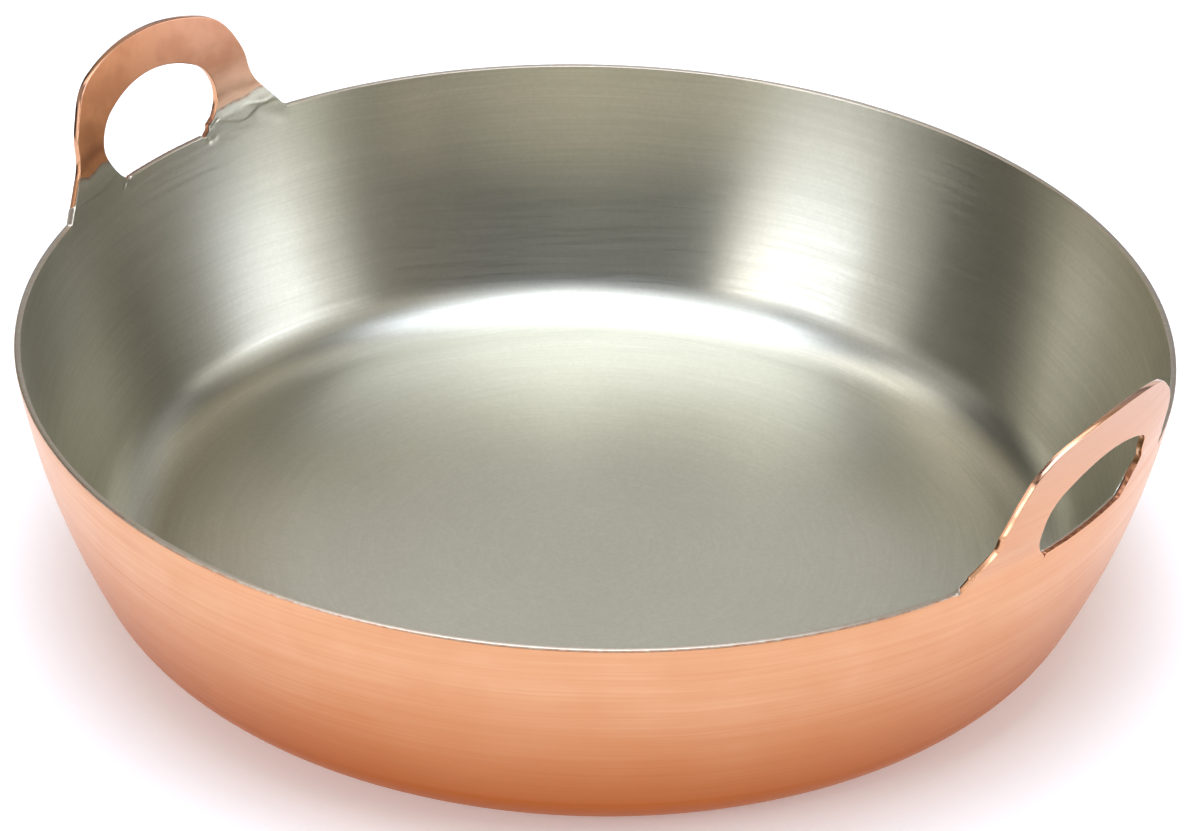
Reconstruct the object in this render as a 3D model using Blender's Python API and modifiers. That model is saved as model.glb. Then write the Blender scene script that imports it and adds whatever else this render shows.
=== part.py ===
"""Copper deep fry pot: a raised copper bowl, two sheet copper handles brazed on its rim and a tin lining.

The origin is on the table, under the middle of the pot. +Z is up, and the handles stand at +X and -X.
Every face of the wall is set out from the lining's inner face, by a distance along that face's normal.
"""
import math

import bmesh
import bpy

# Bowl, inside sizes in metres
rim_inner_radius = 0.195
bowl_height = 0.090
floor_radius = 0.150
floor_corner_radius = 0.0238
wall_bow_radius = 0.268

# Sheet, lining and joint
copper_thickness = 0.0016
handle_thickness = 0.0022
tin_thickness = 0.0003
seat_gap = 0.0003

# Handle outline, heights from the rim
handle_height = 0.0475
handle_half_width = 0.0457
handle_foot_half_width = 0.0585
handle_crown_radius = 0.095
handle_shoulder_radius = 0.0225
handle_flare_radius = 0.015
handle_extra_lean = math.radians(4)
handle_edge_easing = 0.0004
eased_corner_angle = math.radians(50)
foot_stub_height = 0.0035

# Finger slot, heights from the rim
slot_top_height = 0.031
slot_half_width = 0.0294
slot_floor_half_width = 0.0224
slot_crown_radius = 0.049
slot_shoulder_radius = 0.0124

# Height above the rim where the tin ends on the handles' feet
tin_line_height = 0.010

# Facets of a full turn and of each arc
bowl_turn_steps = 72
handle_turn_steps = 144
corner_spans = 6
wall_spans = 4
handle_rise_spans = 4
crown_spans = 6
shoulder_spans = 7
flare_spans = 4

# How far a cutter runs past what it cuts, and the least ledge that it leaves
cutter_reach = 0.02
handle_headroom = 0.005
cut_margin = 0.0002

# The lip cutter runs a little above the lip's top and a hair inside the lining's back
lip_cut_rise = 0.0003
lip_cut_overlap = 0.00005

# Points closer than this are one point, on a turned piece and on a cutter
turned_weld = 0.00001
cutter_weld = 0.000001

# Distances outward from the lining's inner face
tin_back = tin_thickness
bowl_inside = tin_back + seat_gap
bowl_outside = bowl_inside + copper_thickness
handle_inside = bowl_outside - handle_thickness
flap_back = handle_inside - seat_gap
flap_face = flap_back - tin_thickness

# Levels in the pot's own height
copper_rim_level = bowl_height - tin_thickness - seat_gap
joint_level = bowl_height + foot_stub_height
tin_line_level = bowl_height + tin_line_height
handle_top_level = bowl_height + handle_height


def on_arc(centre, radius, lean):
    """The point of an arc where its outward normal dips by the angle lean."""
    return (centre[0] + radius * math.cos(lean), centre[1] - radius * math.sin(lean))


def circle_meeting(centre_a, radius_a, centre_b, radius_b):
    """The point at both distances from two centres that lies to the left of the way from a to b."""
    across = centre_b[0] - centre_a[0]
    rise = centre_b[1] - centre_a[1]
    apart = math.hypot(across, rise)
    along = (radius_a ** 2 - radius_b ** 2 + apart ** 2) / (2 * apart)
    aside = math.sqrt(radius_a ** 2 - along ** 2)
    return (
        centre_a[0] + (along * across - aside * rise) / apart,
        centre_a[1] + (along * rise + aside * across) / apart,
    )


# The meridian: flat floor, corner arc, bowed wall, and the handles' arc that leans out from the rim
corner_centre = (floor_radius, bowl_outside + floor_corner_radius)
rim_point = (rim_inner_radius, bowl_height)
wall_centre = circle_meeting(
    corner_centre, wall_bow_radius - floor_corner_radius, rim_point, wall_bow_radius
)
corner_lean = math.atan2(wall_centre[1] - corner_centre[1], corner_centre[0] - wall_centre[0])
rim_lean = math.asin((wall_centre[1] - bowl_height) / wall_bow_radius)
top_lean = rim_lean + handle_extra_lean
handle_bend_radius = handle_height / (math.sin(top_lean) - math.sin(rim_lean))
handle_centre = on_arc(rim_point, handle_bend_radius, rim_lean)


def radius_at(distance, level):
    """The radius at a level of the face that lies a distance outside the lining's inner face."""
    rim_level = on_arc(rim_point, distance, rim_lean)[1]
    if level > rim_level:
        bend = handle_bend_radius - distance
        return handle_centre[0] - math.sqrt(bend ** 2 - (level - handle_centre[1]) ** 2)
    bow = wall_bow_radius + distance
    return wall_centre[0] + math.sqrt(bow ** 2 - (level - wall_centre[1]) ** 2)


def face_line(distance, top_level):
    """A face's meridian from the axis, along the floor and up the wall to a level."""
    line = [(0.0, bowl_outside - distance)]
    for step in range(corner_spans):
        lean = math.pi / 2 + (corner_lean - math.pi / 2) * step / corner_spans
        line.append(on_arc(corner_centre, floor_corner_radius + distance, lean))
    for step in range(wall_spans):
        lean = corner_lean + (rim_lean - corner_lean) * step / wall_spans
        line.append(on_arc(wall_centre, wall_bow_radius + distance, lean))
    rim = on_arc(rim_point, distance, rim_lean)
    if top_level > rim[1] + cut_margin:
        line.append(rim)
    line.append((radius_at(distance, top_level), top_level))
    return line


def at(distance, level):
    """A meridian point on a face at a level."""
    return (radius_at(distance, level), level)


def arc_points(centre, radius, start, end, spans):
    """Points along an arc between two angles from the +Y side, both ends included."""
    points = []
    for step in range(spans + 1):
        angle = start + (end - start) * step / spans
        points.append((centre[0] + radius * math.cos(angle), centre[1] + radius * math.sin(angle)))
    return points


def arch_shoulder(half_width, top_level, crown_radius, shoulder_radius):
    """The centre of an arch's shoulder arc, and the angle where the crown arc meets it."""
    crown_level = top_level - crown_radius
    across = half_width - shoulder_radius
    rise = math.sqrt((crown_radius - shoulder_radius) ** 2 - across ** 2)
    return (across, crown_level + rise), math.atan2(rise, across)


def handle_half_outline():
    """The handle's edge from the middle of its top to where the flared foot meets the rim."""
    shoulder, meeting = arch_shoulder(
        handle_half_width, handle_top_level, handle_crown_radius, handle_shoulder_radius
    )
    crown_centre = (0.0, handle_top_level - handle_crown_radius)
    crown = arc_points(crown_centre, handle_crown_radius, math.pi / 2, meeting, crown_spans)
    turn = arc_points(shoulder, handle_shoulder_radius, meeting, 0.0, shoulder_spans)
    flare_centre = (handle_half_width + handle_flare_radius, shoulder[1])
    foot = (handle_foot_half_width, bowl_height)
    across = foot[0] - flare_centre[0]
    rise = foot[1] - flare_centre[1]
    towards = math.atan2(rise, across) + 2 * math.pi
    leave = towards - math.acos(handle_flare_radius / math.hypot(across, rise))
    flare = arc_points(flare_centre, handle_flare_radius, math.pi, leave, flare_spans)
    return crown + turn[1:] + flare[1:] + [foot]


def slot_half_outline(floor_level):
    """The finger slot's edge from the middle of its top to the corner on its flat floor."""
    top = bowl_height + slot_top_height
    shoulder, meeting = arch_shoulder(slot_half_width, top, slot_crown_radius, slot_shoulder_radius)
    crown_centre = (0.0, top - slot_crown_radius)
    crown = arc_points(crown_centre, slot_crown_radius, math.pi / 2, meeting, crown_spans)
    turn = arc_points(shoulder, slot_shoulder_radius, meeting, 0.0, shoulder_spans)
    narrowing = slot_half_width - slot_floor_half_width
    drop = shoulder[1] - floor_level
    side_radius = (narrowing ** 2 + drop ** 2) / (2 * narrowing)
    side_centre = (slot_half_width - side_radius, shoulder[1])
    side = arc_points(side_centre, side_radius, 0.0, -math.asin(drop / side_radius), flare_spans)
    return crown + turn[1:] + side[1:]


def mirrored(half_outline):
    """A whole outline: the half with its mirror image, from the -Y end over the top to the +Y end."""
    left = [(-across, level) for across, level in half_outline[:0:-1]]
    return left + half_outline


def rim_frame_outline(level):
    """What is cut from the sheet above a level: all of it but the two handles."""
    top = handle_top_level + cutter_reach
    side = rim_inner_radius + bowl_outside + cutter_reach
    edge = mirrored(handle_half_outline())
    if level < bowl_height:
        foot = handle_foot_half_width
        edge = [(-foot, level)] + edge + [(foot, level)]
    return edge + [(side, level), (side, top), (-side, top), (-side, level)]


def new_collection(name):
    collection = bpy.data.collections.new(name)
    bpy.context.scene.collection.children.link(collection)
    return collection


def turned(name, profile, steps, closed, collection):
    """An object turned about Z from a meridian that runs up its inside and down its outside."""
    count = len(profile)
    edges = [(index, index + 1) for index in range(count - 1)]
    if closed:
        edges.append((count - 1, 0))
    mesh = bpy.data.meshes.new(name)
    mesh.from_pydata([(radius, 0.0, level) for radius, level in profile], edges, [])
    piece = bpy.data.objects.new(name, mesh)
    collection.objects.link(piece)
    screw = piece.modifiers.new("turn", "SCREW")
    screw.axis = "Z"
    screw.angle = 2 * math.pi
    screw.steps = steps
    screw.render_steps = steps
    screw.use_merge_vertices = True
    screw.merge_threshold = turned_weld
    screw.use_smooth_shade = True
    return piece


def as_cutter(piece):
    piece.hide_render = True
    piece.display_type = "WIRE"
    return piece


def prism(name, outline, half_length, collection):
    """A cutter that runs along X through the whole pot, from an outline in Y and Z."""
    curve = bpy.data.curves.new(name, "CURVE")
    curve.dimensions = "2D"
    curve.fill_mode = "BOTH"
    curve.extrude = half_length
    spline = curve.splines.new("POLY")
    spline.points.add(len(outline) - 1)
    for point, (across, level) in zip(spline.points, outline):
        point.co = (across, level, 0.0, 1.0)
    spline.use_cyclic_u = True
    drawn = bpy.data.objects.new(name, curve)
    drawn.rotation_euler = (math.pi / 2, 0.0, math.pi / 2)
    collection.objects.link(drawn)
    bpy.context.view_layer.update()
    evaluated = drawn.evaluated_get(bpy.context.evaluated_depsgraph_get())
    mesh = bpy.data.meshes.new_from_object(evaluated)
    welded = bmesh.new()
    welded.from_mesh(mesh)
    bmesh.ops.remove_doubles(welded, verts=welded.verts, dist=cutter_weld)
    welded.to_mesh(mesh)
    welded.free()
    solid = bpy.data.objects.new(name, mesh)
    solid.matrix_world = drawn.matrix_world
    bpy.data.objects.remove(drawn)
    collection.objects.link(solid)
    return as_cutter(solid)


def block(name, low, high, collection):
    """A box between two corners."""
    bpy.ops.mesh.primitive_cube_add(size=1.0)
    piece = bpy.context.object
    piece.name = name
    piece.location = [(a + b) / 2 for a, b in zip(low, high)]
    piece.scale = [b - a for a, b in zip(low, high)]
    for holder in list(piece.users_collection):
        holder.objects.unlink(piece)
    collection.objects.link(piece)
    return as_cutter(piece)


def boolean(piece, other, operation):
    modifier = piece.modifiers.new(other.name, "BOOLEAN")
    modifier.operation = operation
    modifier.solver = "EXACT"
    modifier.object = other


def metal(name, colour, roughness):
    material = bpy.data.materials.new(name)
    material.use_nodes = True
    shader = material.node_tree.nodes["Principled BSDF"]
    shader.inputs["Base Color"].default_value = (*colour, 1.0)
    shader.inputs["Metallic"].default_value = 1.0
    shader.inputs["Roughness"].default_value = roughness
    return material


def make_bowl(pot, rim_frame, slot):
    """The bowl, raised from one disc, with a low stub left under each foot of the handles."""
    profile = face_line(bowl_inside, joint_level) + face_line(bowl_outside, joint_level)[::-1]
    bowl = turned("copper_bowl", profile, bowl_turn_steps, False, pot)
    boolean(bowl, rim_frame, "DIFFERENCE")
    boolean(bowl, slot, "DIFFERENCE")
    bowl.data.materials.append(metal("spun copper", (0.82, 0.42, 0.26), 0.32))
    return bowl


def make_handle(name, keeper, pot, rim_frame, slot):
    """One handle: thicker sheet that follows the rim's curve and butts on the bowl's foot stubs."""
    low = joint_level + seat_gap
    high = handle_top_level + handle_headroom
    levels = [low + (high - low) * step / handle_rise_spans for step in range(handle_rise_spans + 1)]
    profile = [at(handle_inside, level) for level in levels]
    profile += [at(bowl_outside, level) for level in levels[::-1]]
    handle = turned(name, profile, handle_turn_steps, True, pot)
    boolean(handle, keeper, "INTERSECT")
    boolean(handle, rim_frame, "DIFFERENCE")
    boolean(handle, slot, "DIFFERENCE")
    easing = handle.modifiers.new("eased edges", "BEVEL")
    easing.width = handle_edge_easing
    easing.segments = 1
    easing.limit_method = "ANGLE"
    easing.angle_limit = eased_corner_angle
    handle.data.materials.append(metal("polished copper", (0.78, 0.40, 0.24), 0.28))
    return handle


def make_lining(pot, lining_frame, lip_cutter, slot):
    """The tin over the inside, the rim's top edge and the inner faces of the handles' feet."""
    step_level = bowl_height + 2 * cut_margin
    lip_top = bowl_height + cut_margin
    lip_bottom = bowl_height - tin_thickness
    profile = face_line(0.0, step_level)
    profile += [at(flap_face, joint_level), at(flap_face, tin_line_level)]
    profile += [at(flap_back, tin_line_level), at(flap_back, joint_level)]
    profile += [at(tin_back, step_level), at(tin_back, lip_top)]
    profile += [at(bowl_outside, lip_top), at(bowl_outside, lip_bottom)]
    profile += face_line(tin_back, lip_bottom)[::-1]
    lining = turned("tin_lining", profile, bowl_turn_steps, False, pot)
    boolean(lining, lip_cutter, "DIFFERENCE")
    boolean(lining, lining_frame, "DIFFERENCE")
    boolean(lining, slot, "DIFFERENCE")
    lining.data.materials.append(metal("wiped tin", (0.52, 0.51, 0.47), 0.35))
    return lining


def make_lip_cutter(cutters):
    """The lining's lip, cut away where the handles stand on the rim."""
    low = copper_rim_level + seat_gap / 2
    high = bowl_height + lip_cut_rise
    inside = tin_back - lip_cut_overlap
    outside = bowl_outside + handle_headroom
    ring = [at(inside, low), at(inside, high), at(outside, high), at(outside, low)]
    cutter = turned("lip_cutter", ring, bowl_turn_steps, True, cutters)
    length = rim_inner_radius + cutter_reach * 2
    width = handle_foot_half_width + seat_gap
    corner_low = (-length, -width, low - cutter_reach)
    corner_high = (length, width, high + cutter_reach)
    boolean(cutter, block("lip_cutter_ends", corner_low, corner_high, cutters), "INTERSECT")
    return as_cutter(cutter)


def main():
    for piece in list(bpy.data.objects):
        bpy.data.objects.remove(piece)
    pot = new_collection("copper_deep_fry_pot")
    cutters = new_collection("cutters")
    length = rim_inner_radius + 3 * cutter_reach
    top = handle_top_level + cutter_reach
    slot = prism("finger_slot", mirrored(slot_half_outline(copper_rim_level)), length, cutters)
    copper_frame = prism("rim_frame", rim_frame_outline(copper_rim_level), length, cutters)
    lining_frame = prism("lining_frame", rim_frame_outline(bowl_height), length, cutters)
    make_bowl(pot, copper_frame, slot)
    for name, side in (("handle_right", 1), ("handle_left", -1)):
        ends = sorted((side * rim_inner_radius / 2, side * length))
        low = (ends[0], -handle_foot_half_width - cutter_reach, bowl_height - cutter_reach)
        high = (ends[1], handle_foot_half_width + cutter_reach, top)
        keeper = block(name + "_side", low, high, cutters)
        make_handle(name, keeper, pot, copper_frame, slot)
    make_lining(pot, lining_frame, make_lip_cutter(cutters), slot)
    print("rim lean", round(math.degrees(rim_lean), 2), "handle top lean", round(math.degrees(top_lean), 2))


main()
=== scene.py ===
# %% [markdown]
# # A tinned copper deep fry pot
#
# The real pot is one sheet of copper, spun and planished into a bowl, with two sheet copper
# handles brazed on its rim and a wiped tin lining. The CAD model is the frame: it says where
# every wall stands. This lesson makes four fine pieces that stand for its four plain ones.

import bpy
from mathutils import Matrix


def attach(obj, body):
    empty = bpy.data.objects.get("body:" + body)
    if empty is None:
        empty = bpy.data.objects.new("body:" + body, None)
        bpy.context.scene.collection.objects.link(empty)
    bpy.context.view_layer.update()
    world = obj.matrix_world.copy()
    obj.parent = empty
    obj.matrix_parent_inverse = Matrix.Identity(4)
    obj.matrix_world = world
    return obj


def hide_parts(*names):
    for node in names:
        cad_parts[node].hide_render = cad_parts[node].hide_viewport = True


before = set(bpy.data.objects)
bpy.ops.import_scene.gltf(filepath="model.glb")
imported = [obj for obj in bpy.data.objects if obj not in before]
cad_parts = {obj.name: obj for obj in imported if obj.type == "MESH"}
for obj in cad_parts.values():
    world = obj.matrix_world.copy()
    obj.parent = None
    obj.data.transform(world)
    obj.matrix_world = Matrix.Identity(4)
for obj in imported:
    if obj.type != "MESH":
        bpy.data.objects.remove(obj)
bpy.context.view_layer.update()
print("CAD pieces", sorted(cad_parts))

# %% [markdown]
# ## The sizes of the pot
#
# A coppersmith works from a few sizes: the width at the rim, the depth, how round the corner
# is and how far the handles rise. All are in metres, and each face of the wall is named by its
# distance outward from the inner face of the tin, so the sheets always nest in each other.

# %% Sizes of the bowl and the sheet
import math

import bmesh
import bpy
import numpy as np
from mathutils import Matrix, Vector

mm = 0.001
rim_inner_radius = 195 * mm
bowl_height = 90 * mm
floor_radius = 150 * mm
floor_corner_radius = 23.8 * mm
wall_bow_radius = 268 * mm
tin_thickness = 0.3 * mm
bowl_inside = 0.6 * mm
bowl_outside = 2.2 * mm
joint_level = bowl_height + 3.5 * mm
above_joint = joint_level + 0.01 * mm
print("sheet", round((bowl_outside - bowl_inside) / mm, 2), "mm, depth", bowl_height / mm, "mm")

# %% Sizes of the handles
handle_height = 47.5 * mm
handle_half_width = 45.7 * mm
handle_foot_half_width = 58.5 * mm
handle_crown_radius = 95 * mm
handle_shoulder_radius = 22.5 * mm
handle_flare_radius = 15 * mm
handle_extra_lean = math.radians(4)
slot_top_height = 31 * mm
slot_half_width = 29.4 * mm
slot_floor_half_width = 22.4 * mm
slot_crown_radius = 49 * mm
slot_shoulder_radius = 12.4 * mm
print("handles rise", handle_height / mm, "mm, slots", slot_top_height / mm, "mm")

# %% [markdown]
# ## The meridian
#
# Spun metal is round in plan, so its whole shape is in one line from the middle of the floor
# to the rim: flat, a tight corner, a slightly bowed wall, and the handles' gentle lean. It
# could be drawn as a curve, but four arcs with named radii are exact and never wobble.

# %% The arcs of the meridian


def on_arc(centre, radius, lean):
    """The point of an arc where its outward normal dips by the angle lean."""
    return centre[0] + radius * np.cos(lean), centre[1] - radius * np.sin(lean)


def circle_meeting(centre_a, radius_a, centre_b, radius_b):
    """The point at both distances from two centres, to the left of the way from a to b."""
    way = np.subtract(centre_b, centre_a)
    apart = math.hypot(*way)
    along = (radius_a ** 2 - radius_b ** 2 + apart ** 2) / (2 * apart)
    aside = math.sqrt(radius_a ** 2 - along ** 2)
    return np.add(centre_a, (along * way + aside * np.array([-way[1], way[0]])) / apart)


corner_centre = (floor_radius, bowl_outside + floor_corner_radius)
rim_point = (rim_inner_radius, bowl_height)
wall_centre = circle_meeting(
    corner_centre, wall_bow_radius - floor_corner_radius, rim_point, wall_bow_radius
)
corner_lean = math.atan2(wall_centre[1] - corner_centre[1], corner_centre[0] - wall_centre[0])
rim_lean = math.asin((wall_centre[1] - bowl_height) / wall_bow_radius)
top_lean = rim_lean + handle_extra_lean
handle_bend = handle_height / (math.sin(top_lean) - math.sin(rim_lean))
handle_centre = on_arc(rim_point, handle_bend, rim_lean)


def radius_at(distance, level):
    """The radius, at a level, of the face that lies a distance outside the tin's inner face."""
    rise = np.square(level - handle_centre[1])
    above = handle_centre[0] - np.sqrt(np.square(handle_bend - distance) - rise)
    drop = np.square(np.minimum(level, wall_centre[1]) - wall_centre[1])
    below = wall_centre[0] + np.sqrt(np.square(wall_bow_radius + distance) - drop)
    return np.where(level > bowl_height - distance * math.sin(rim_lean), above, below)


print("wall leans", round(math.degrees(rim_lean), 1), "degrees at the rim")

# %% [markdown]
# ## The handle's outline
#
# A handle is cut from sheet with shears and a file: a low crown, round shoulders, and feet
# that flare out along the rim. The finger slot in it is a D on its side. Both edges are made
# of arcs, and each can be set in by a distance, which leaves room to round the arrises.

# %% Outer edge and slot edge
# Points on each arc: far more than the mesh needs, as its sections are read off them.
arch_points, flare_points, foot_points, slot_side_points = 400, 300, 200, 500


def arc(centre, radius, start, end, count):
    angle = np.linspace(start, end, count)
    return np.stack([centre[0] + radius * np.cos(angle), centre[1] + radius * np.sin(angle)], 1)


def arch(half_width, top, crown_radius, shoulder_radius, inset):
    """Half an arch from its crown to the end of its shoulder, and the shoulder's centre."""
    crown_centre = np.array([0.0, top - crown_radius])
    across = half_width - shoulder_radius
    rise = math.sqrt((crown_radius - shoulder_radius) ** 2 - across ** 2)
    shoulder = crown_centre + (across, rise)
    meeting = math.atan2(rise, across)
    crown = arc(crown_centre, crown_radius - inset, math.pi / 2, meeting, arch_points)
    turn = arc(shoulder, shoulder_radius - inset, meeting, 0.0, arch_points)
    return np.vstack([crown, turn[1:]]), shoulder


def handle_edge(inset, floor):
    """Half of the handle's outer edge, from the foot at the level floor up to the crown."""
    upper, shoulder = arch(
        handle_half_width, bowl_height + handle_height, handle_crown_radius,
        handle_shoulder_radius, inset,
    )
    flare_centre = np.array([handle_half_width + handle_flare_radius, shoulder[1]])
    way = np.array([handle_foot_half_width, bowl_height]) - flare_centre
    towards = math.atan2(way[1], way[0]) + 2 * math.pi
    leave = towards - math.acos(handle_flare_radius / math.hypot(*way))
    flare = arc(flare_centre, handle_flare_radius + inset, math.pi, leave, flare_points)
    slope = np.array([-math.sin(leave), math.cos(leave)])
    foot = flare[-1] + slope * (floor - flare[-1][1]) / slope[1]
    straight = np.linspace(flare[-1], foot, foot_points)
    return np.vstack([upper, flare[1:], straight[1:]])[::-1]


def slot_edge(inset, floor):
    """Half of the slot's edge, from its corner on the floor up to the crown."""
    upper, shoulder = arch(
        slot_half_width, bowl_height + slot_top_height, slot_crown_radius,
        slot_shoulder_radius, -inset,
    )
    narrowing = slot_half_width - slot_floor_half_width
    drop = shoulder[1] - (bowl_height - 2 * tin_thickness)
    side_radius = (narrowing ** 2 + drop ** 2) / (2 * narrowing)
    end = -math.asin((shoulder[1] - floor) / (side_radius + inset))
    side_centre = (slot_half_width - side_radius, shoulder[1])
    side = arc(side_centre, side_radius + inset, 0.0, end, slot_side_points)
    return np.vstack([upper, side[1:]])[::-1]


spans = [round(2 * half / mm, 1) for half in (handle_half_width, handle_foot_half_width)]
print("handle and feet span", spans, "mm")

# %% [markdown]
# ## What the hand left
#
# No two handles of a real pot are alike. One is bowed out a little, and each edge was brought
# to shape with its own few strokes of the file. Side 0 is the handle at +X and side 1 the one
# at -X, and foot 1 of each comes after foot 0 as the turn grows. Small shifts, added to the
# drawn outline, keep it simple and still give each foot its own shape.

# %% The shifts of each side
handle_bowed_out = {0: 1.8 * mm, 1: 0.0}
bow_from, bow_to = 16 * mm, 20 * mm
trims = {
    # (edge, side, foot): what the file took off, as (height, reach, depth) in mm
    ("outline", 0, 0): ((17.5, 4.5, -2.2), (33.0, 6.0, 1.7), (40.0, 3.0, 1.5)),
    ("outline", 0, 1): ((13.5, 3.5, 1.1), (38.0, 5.0, 1.8)),
    ("outline", 1, 0): ((32.0, 8.0, 1.0),),
    ("outline", 1, 1): ((32.0, 6.0, 1.3),),
    ("slot", 0, 1): ((17.5, 4.0, 2.4), (3.0, 2.5, -1.2)),
    ("slot", 1, 0): ((2.8, 1.3, 1.2), (13.0, 8.0, -0.85)),
    ("slot", 1, 1): ((16.0, 7.0, -0.9),),
}
narrowed = {("slot", 1, 1): 2.9 * mm}  # a slot that closes in towards its floor
narrowing_height, narrowing_power = 14 * mm, 1.2
slot_top_shift = {0: (-0.4 * mm, 16 * mm, 12 * mm), 1: (1.4 * mm, -6 * mm, 45 * mm)}
slot_top_from, slot_top_to = 10 * mm, 26 * mm


def smoothstep(low, high, value):
    share = np.clip((value - low) / (high - low), 0, 1)
    return share * share * (3 - 2 * share)


def trimmed(edge, side, foot, across, level):
    """The half width of an edge at a level, with what the file took off this foot."""
    height = level - bowl_height
    for middle, reach, depth in trims.get((edge, side, foot), ()):
        across = across - depth * mm * np.exp(-np.square((height / mm - middle) / reach))
    near = np.clip(1 - height / narrowing_height, 0, 1.05) ** narrowing_power
    return across - narrowed.get((edge, side, foot), 0.0) * near


def shifted_top(side, across, level):
    """The level of the slot's edge, with what the file took from the top of this slot."""
    shift, middle, reach = slot_top_shift[side]
    upper = smoothstep(slot_top_from, slot_top_to, level - bowl_height)
    return level + shift * upper * np.exp(-np.square((across - middle) / reach))


rim_nicks = {
    # side: nicks of the saw in the rim, as (place across, width, depth) in mm
    0: ((-21.8, 0.45, 1.5), (-59.2, 0.40, 0.7), (21.6, 0.8, 0.5)),
    1: ((18.6, 0.45, 0.7), (-21.9, 0.5, 0.6)),
}


def rim_drop(turn):
    """How far nicks lower the rim at a turn round the pot."""
    drop = np.zeros_like(turn)
    for side, nicks in rim_nicks.items():
        facing = 1 - 2 * side
        across = np.sin(turn) * facing * rim_inner_radius / mm
        here = np.cos(turn) * facing > 0
        for middle, width, depth in nicks:
            drop += here * depth * mm * np.exp(-np.square((across - middle) / width))
    return drop


def reach_at(turn, distance, level):
    """radius_at, on a handle whose middle was bowed out by hand."""
    height = level - bowl_height
    bow = smoothstep(0.0, bow_from, height) * (1 - smoothstep(bow_to, handle_height, height))
    most = np.where(np.cos(turn) > 0, handle_bowed_out[0], handle_bowed_out[1])
    return radius_at(distance + most * bow, level)


print("the near handle is bowed out by", handle_bowed_out[0] / mm, "mm")

# %% [markdown]
# ## Colours and nodes
#
# Colours are written as the hex values that a painter would pick from the screen, and one
# function turns them to the linear light that the renderer works in. One more adds any node,
# so that a tree reads like a recipe, for a shape as well as for a finish.

# %% From hex to linear light


def linear(colour):
    channels = [int(colour[k:k + 2], 16) / 255 for k in (1, 3, 5)]
    bent = [c / 12.92 if c <= 0.04045 else ((c + 0.055) / 1.055) ** 2.4 for c in channels]
    return (*bent, 1.0)


print("middle grey", [round(channel, 3) for channel in linear("#808080")[:3]])

# %% One function that adds a node


def put(tree, kind, inputs=None, take=0, **settings):
    """Adds a node, sets or links its inputs by name or number, and returns one output."""
    # Most nodes here are of the ShaderNode family, so that word can be left out of the kind.
    node = tree.nodes.new(kind if "Node" in kind else "ShaderNode" + kind)
    for name, value in settings.items():
        setattr(node, name, value)
    for key, value in (inputs or {}).items():
        if isinstance(value, bpy.types.NodeSocket):
            tree.links.new(value, node.inputs[key])
        else:
            is_colour = isinstance(value, str) and value.startswith("#")
            node.inputs[key].default_value = linear(value) if is_colour else value
    return node.outputs[take] if len(node.outputs) else None


print(sum(kind.startswith("ShaderNode") for kind in dir(bpy.types)), "kinds of shader node")

# %% [markdown]
# ## Drawing in the flat, then rolling round the axis
#
# Every piece is drawn in the flat first: a point is its turn round the axis, its reach from
# the axis and its level. In that space a wall is a plain strip, and a foot or a slot is a
# simple outline. A Geometry Nodes tree then rolls the strip up, as the lathe does. It could
# be bent with a Simple Deform modifier, but the tree also lays the hammer's waves on it.

# %% A flat pattern


class Pattern:
    """Points as (turn, reach, level), faces, and a few named marks on the points."""

    def __init__(self, *marks):
        self.points = []
        self.faces = []
        self.marks = {mark: [] for mark in marks}
        self.count = 0

    def add(self, turn, reach, level, **marks):
        """Adds points given as arrays, and returns their numbers in the same shape."""
        turn, reach, level = np.broadcast_arrays(turn, reach, level)
        self.points.append(np.stack([turn, reach, level], -1).reshape(-1, 3))
        for mark, kept in self.marks.items():
            kept.append(np.broadcast_to(marks.get(mark, 0.0), turn.shape).reshape(-1))
        numbers = self.count + np.arange(turn.size).reshape(turn.shape)
        self.count += turn.size
        return numbers

    def weave(self, grid, closed=False):
        """Faces between neighbouring rows and columns of a grid of point numbers."""
        if closed:
            grid = np.hstack([grid, grid[:, :1]])
        quads = np.stack([grid[:-1, :-1], grid[:-1, 1:], grid[1:, 1:], grid[1:, :-1]], -1)
        self.faces.extend(quads.reshape(-1, 4).tolist())

    def cap(self, pole, ring):
        """A fan of triangles round the point on the axis."""
        self.faces.extend([pole, a, b] for a, b in zip(ring, np.roll(ring, -1)))

    def mesh(self, name):
        mesh = bpy.data.meshes.new(name)
        mesh.from_pydata(np.vstack(self.points).tolist(), [], self.faces)
        for mark, kept in self.marks.items():
            layer = mesh.attributes.new(mark, "FLOAT", "POINT")
            layer.data.foreach_set("value", np.concatenate(kept).astype(np.float32))
        return mesh


print("a pattern keeps", list(vars(Pattern())))

# %% The tree that rolls a pattern
plan_scale = (0.2, 0.2, 0.0)  # about the pot's radius, so that a wave's length holds round it


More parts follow.
